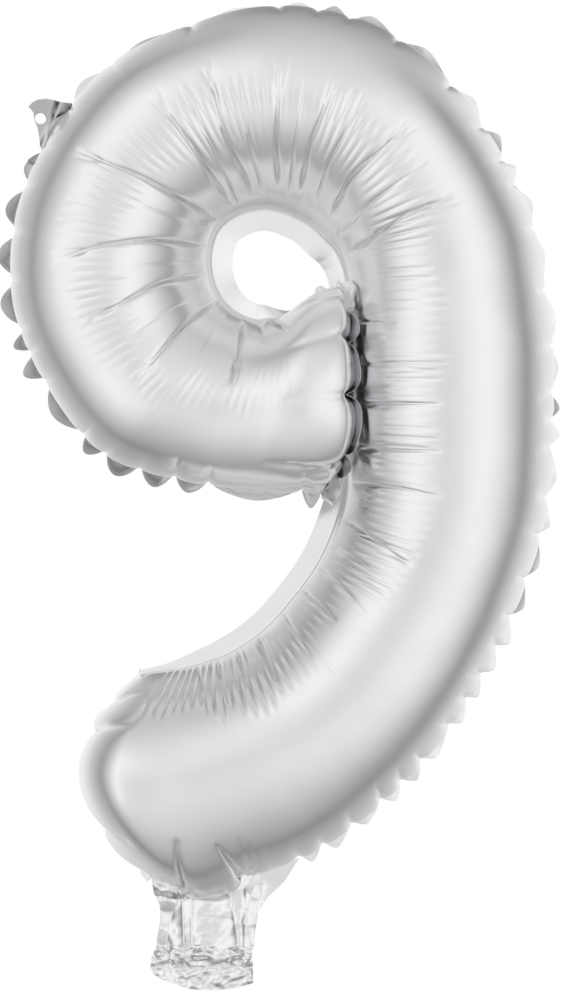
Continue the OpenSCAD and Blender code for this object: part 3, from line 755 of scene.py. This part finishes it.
# ------------------------------------------------------------------ hanging tab with its punched hole
def tab():
    line = [(9.4, 6.5), (8.2, 6.6), (5.4, 7.3), (2.2, 7.8), (-1.2, 7.3), (-3.0, 6.3), (-4.7, 4.5), (-3.6, 3.4), (-2.75, 2.2), (-2.5, 0.0),
            (-2.1, -1.6), (-1.5, -2.8), (-0.9, -5.0), (-0.5, -7.8), (-0.2, -10.8), (0.8, -13.2), (2.8, -13.4), (5.6, -10.4), (8.6, -5.4), (11.2, -0.8), (13.6, 4.4),
            (12.4, 6.2), (9.4, 6.5)]
    q = resample(line, np.linspace(0, 1, 241))[:-1]
    for _ in range(2):
        q = (np.roll(q, 1, 0) + 2 * q + np.roll(q, -1, 0)) / 4
    ang = np.arctan2(q[:, 1], q[:, 0])
    n = 22
    f = np.linspace(0, 1, n)[None, :, None]
    hole = np.stack([np.cos(ang), np.sin(ang)], -1) * 2.2
    g = hole[:, None] * (1 - f) + q[:, None] * f
    X, Z = g[..., 0], g[..., 1]
    # right of the fold line the film turns back into the seal
    d = (X - (8.2 + (Z - 6.6) * 0.385)) * 0.93
    back = np.clip(-d, 0, 20)
    y = -0.16 * back - 0.010 * back ** 2 * (Z > -20) - 0.28 * np.clip(Z, -9, 9) * smooth(back / 3) + 0.45 * np.clip(d, 0, 5)
    y += 0.12 * noise2(X, Z, 3.2, 61) + 0.25 * np.exp(-np.abs(d + 0.4) / 0.5)
    y -= y[np.argmin(np.abs(ang)), 0] * 0
    y -= y[:, 0].mean() * np.exp(-np.hypot(X, Z) / 9)
    return np.stack([X, y, Z], -1)


def closed_mesh(name, G, t):
    """A ring of points (closed the first way) given the thickness t."""
    n, m = G.shape[:2]
    i = np.arange(n * m).reshape(n, m)
    j = np.roll(i, -1, 0)
    q = np.stack([i[:, :-1], i[:, 1:], j[:, 1:], j[:, :-1]], -1).reshape(-1, 4)
    V = (G * MM).reshape(-1, 3)
    a, b, c = V[q[:, 0]], V[q[:, 1]], V[q[:, 2]]
    if np.cross(b - a, c - a)[:, 1].sum() > 0:
        q = q[:, ::-1]
    me = bpy.data.meshes.new(name)
    me.from_pydata(V.tolist(), [], q.tolist())
    me.polygons.foreach_set("use_smooth", np.ones(len(q), bool))
    me.update()
    ob = bpy.data.objects.new(name, me)
    bpy.context.scene.collection.objects.link(ob)
    thicken(ob, t, 0.0)
    return ob


FOIL_T = foil("foil_tab_satin", rough=0.22, seed=2.2, tint=(0.62, 0.62, 0.63))
tb = closed_mesh("hanging_tab_foil", tab(), 0.25)
tb.data.materials.append(FOIL_T)
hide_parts("hang_tab")


def bake(ob):
    """Applies the modifiers, so that the mesh is final."""
    dg = bpy.context.evaluated_depsgraph_get()
    me = bpy.data.meshes.new_from_object(ob.evaluated_get(dg))
    ob.modifiers.clear()
    ob.data = me


for ob in [o for o in bpy.data.objects if o.type == "MESH" and o.modifiers and o.modifiers[0].name == "film"]:
    bake(ob)
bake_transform(nf)
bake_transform(nb)
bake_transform(tb)

# ------------------------------------------------------------------ studio
sc = bpy.context.scene
CX, CZ, DIST = 0.0964, -0.151, 3.0
cam_d = bpy.data.cameras.new("camera")
cam = bpy.data.objects.new("camera", cam_d)
sc.collection.objects.link(cam)
sc.camera = cam
cam.location = (CX, -DIST, CZ)
cam.rotation_euler = (math.radians(90), 0, 0)
cam_d.sensor_width = 36
cam_d.lens = 36 * DIST / 0.3968
cam_d.clip_start, cam_d.clip_end = 0.01, 50

# The surroundings of a small product studio: soft boxes either side of the camera, darker walls beside the object,
# a white sweep behind it and a grey floor. Tones go by the angle from the camera's side, sideways, upward and downward.
RIGHT = [(0, .78), (6, .79), (12, .91), (20, 1.01), (34, 1.08), (44, 1.03), (55, .87), (65, .63), (73, .47), (81, .27), (89, .46), (101, .66),
         (112, .83), (127, .94), (150, 1.0), (180, 1.0)]
LEFT = [(0, .77), (8, .78), (16, .84), (26, .95), (36, 1.04), (44, 1.07), (53, 1.01), (63, .83), (73, .64), (82, .52), (90, .30), (98, .48), (106, .55),
        (120, .68), (135, .88), (155, 1.0), (180, 1.0)]
UP = [(0, .82), (15, .89), (30, .86), (46, .80), (64, .71), (85, .61), (97, .54), (112, .46), (130, .32), (145, .30), (158, .5), (170, .9), (180, 1.0)]
DOWN = [(0, .80), (19, .86), (33, .80), (48, .69), (60, .56), (70, .48), (80, .41), (88, .22), (96, .41), (104, .43), (117, .5), (137, .6), (160, .7), (172, .9), (180, 1.0)]
w = bpy.data.worlds.new("studio")
sc.world = w
w.use_nodes = True
nt = w.node_tree
bg = nt.nodes["Background"]


def node(kind, **kw):
    n = nt.nodes.new(kind)
    for k, v in kw.items():
        setattr(n, k, v)
    return n


def math_node(op, a, b=None):
    n = node("ShaderNodeMath", operation=op)
    for i, v in enumerate((a, b)):
        if v is None:
            continue
        if isinstance(v, (int, float)):
            n.inputs[i].default_value = v
        else:
            nt.links.new(v, n.inputs[i])
    return n.outputs[0]


def tone_ramp(stops, fac):
    n = node("ShaderNodeValToRGB")
    n.color_ramp.interpolation = "LINEAR"
    e = n.color_ramp.elements
    while len(e) < len(stops):
        e.new(0.5)
    for el, (deg, v) in zip(e, stops):
        el.position = deg / 180
        el.color = (v, v, v, 1)
    nt.links.new(fac, n.inputs["Fac"])
    return n.outputs["Color"]


tc = node("ShaderNodeTexCoord")
sp = node("ShaderNodeSeparateXYZ")
nt.links.new(tc.outputs["Generated"], sp.inputs[0])
gx, gy, gz = sp.outputs
ang = math_node("DIVIDE", math_node("ARCCOSINE", math_node("MULTIPLY", gy, -1.0)), math.pi)
rad = math_node("SQRT", math_node("ADD", math_node("MULTIPLY", gx, gx), math_node("ADD", math_node("MULTIPLY", gz, gz), 1e-5)))
vert = math_node("DIVIDE", gz, rad)


def mix(fac, a, b):
    n = node("ShaderNodeMix", data_type="RGBA")
    nt.links.new(fac, n.inputs["Factor"])
    for sock, v in ((n.inputs[6], a), (n.inputs[7], b)):
        if isinstance(v, tuple):
            sock.default_value = v
        else:
            nt.links.new(v, sock)
    return n.outputs[2]


def rise(v, lo, hi):
    n = node("ShaderNodeMapRange", interpolation_type="SMOOTHSTEP")
    n.inputs["From Min"].default_value = lo
    n.inputs["From Max"].default_value = hi
    nt.links.new(v, n.inputs["Value"])
    return n.outputs["Result"]


across = math_node("DIVIDE", gx, rad)
tone = mix(rise(across, -0.35, 0.35), tone_ramp(LEFT, ang), tone_ramp(RIGHT, ang))
high = math_node("ADD", math_node("MULTIPLY", vert, 0.978), math_node("MULTIPLY", across, 0.208))
tone = mix(rise(high, 0.74, 0.97), tone, tone_ramp(UP, ang))
tone = mix(rise(math_node("MULTIPLY", vert, -1.0), 0.35, 0.97), tone, tone_ramp(DOWN, ang))
lp = node("ShaderNodeLightPath")
tone = mix(lp.outputs["Is Camera Ray"], tone, (1, 1, 1, 1))
nt.links.new(tone, bg.inputs["Color"])
bg.inputs["Strength"].default_value = 1.0


def area(name, loc, target, size, power):
    d = bpy.data.lights.new(name, "AREA")
    d.shape = "RECTANGLE"
    d.size, d.size_y = size
    d.energy = power
    o = bpy.data.objects.new(name, d)
    sc.collection.objects.link(o)
    o.location = loc
    o.rotation_mode = "QUATERNION"
    o.rotation_quaternion = (Vector(target) - Vector(loc)).to_track_quat("-Z", "Y")
    o.visible_glossy = False          # the surroundings above already hold its reflection


area("softbox_left", (-1.25, -2.3, 0.55), (CX, 0, CZ), (1.0, 1.6), 4.0)
area("softbox_right", (1.45, -2.3, 0.25), (CX, 0, CZ), (1.0, 1.6), 3.0)
sc.view_settings.view_transform = "Standard"
sc.view_settings.look = "None"

bpy.ops.mesh.primitive_plane_add(size=1, location=(CX, 0, -0.62))
floor = bpy.context.object
floor.name = "floor"
floor.scale = (3.0, 3.0, 1)
fm = bpy.data.materials.new("floor_pale")
fm.use_nodes = True
fb = fm.node_tree.nodes["Principled BSDF"]
fb.inputs["Base Color"].default_value = (0.90, 0.90, 0.895, 1)
fb.inputs["Roughness"].default_value = 0.9
floor.data.materials.append(fm)
floor.visible_glossy = False
